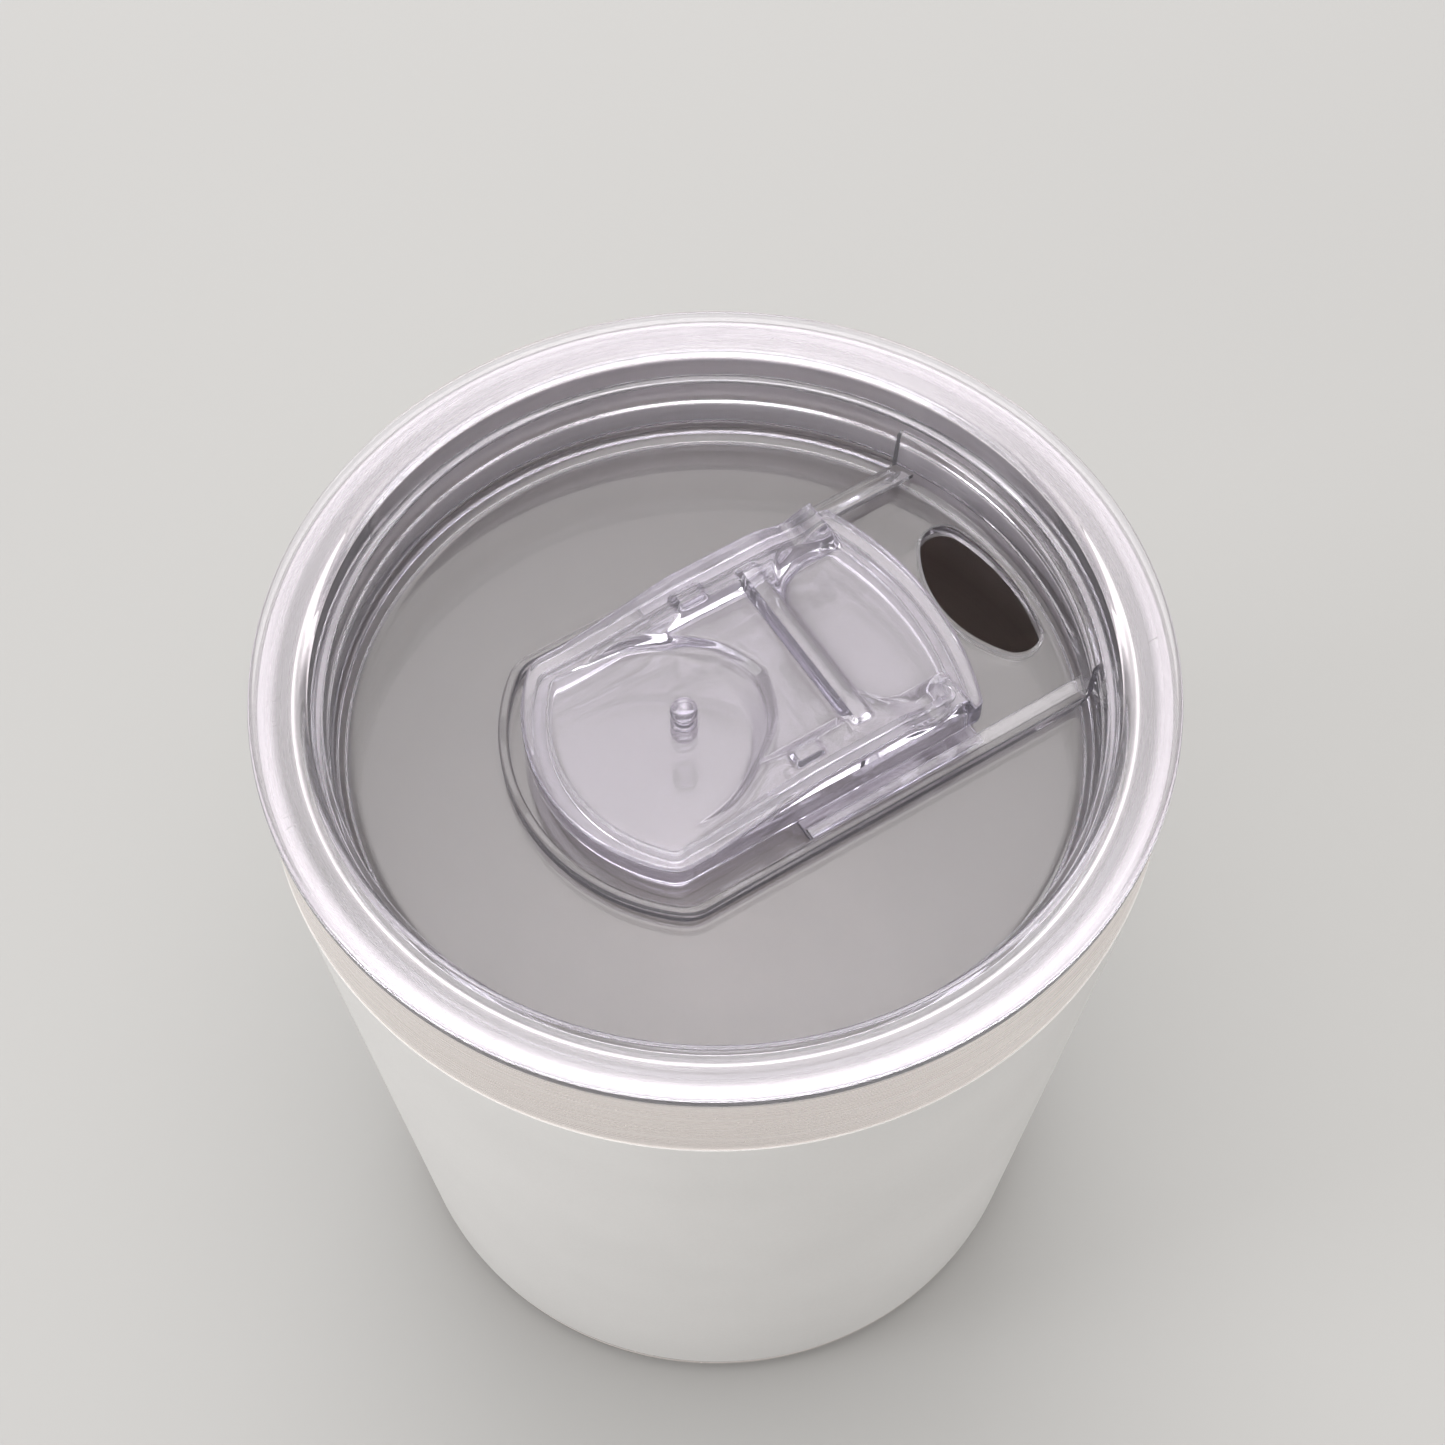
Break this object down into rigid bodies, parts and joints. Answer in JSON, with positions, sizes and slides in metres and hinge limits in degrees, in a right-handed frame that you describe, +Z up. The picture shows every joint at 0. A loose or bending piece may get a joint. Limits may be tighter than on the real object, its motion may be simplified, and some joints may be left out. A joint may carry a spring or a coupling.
{
  "type": "insulated tumbler with lid",
  "caption": "Short double-wall vacuum tumbler with a bare steel band, a tapering coated body and a clear press-in lid whose slider opens and closes an oval drink hole.",
  "frame": {"origin": "centre of the face that the tumbler rests on", "axes": "+Z up through the mouth, +X from the middle of the lid towards the drink hole"},
  "size_m": [0.0888, 0.0888, 0.0955],
  "materials": {
    "brushed_steel": "satin brushed stainless steel",
    "vessel_steel": "electropolished stainless steel",
    "bottom_steel": "plain stainless sheet",
    "foil": "bright foil",
    "powder_coat": "fine-textured off-white powder coat",
    "solder_glass": "grey solder glass",
    "getter": "sintered metal",
    "foot_silicone": "matte grey silicone",
    "clear_lid": "clear moulded plastic with a faint lavender tint",
    "clear_silicone": "translucent silicone",
    "clear_slider": "clear moulded plastic with a faint lavender tint"
  },
  "bodies": {
    "cup": {"outer_shell": "brushed_steel", "inner_vessel": "vessel_steel", "radiation_foil": "foil", "powder_coat": "powder_coat", "outer_bottom": "bottom_steel", "seal_bead": "solder_glass", "getter_capsule": "getter", "base_cap": "bottom_steel", "foot_pad": "foot_silicone"},
    "lid": {"lid_body": "clear_lid", "lid_gasket": "clear_silicone"},
    "slider": {"slider": "clear_slider"}
  },
  "joints": [
    {"name": "lid_lift", "type": "slide", "parent": "cup", "child": "lid", "axis": [0, 0, 1], "range_m": [0, 0.045]},
    {"name": "slider_travel", "type": "slide", "parent": "lid", "child": "slider", "axis": [1, 0, 0], "range_m": [-0.001, 0.0112]}
  ]
}
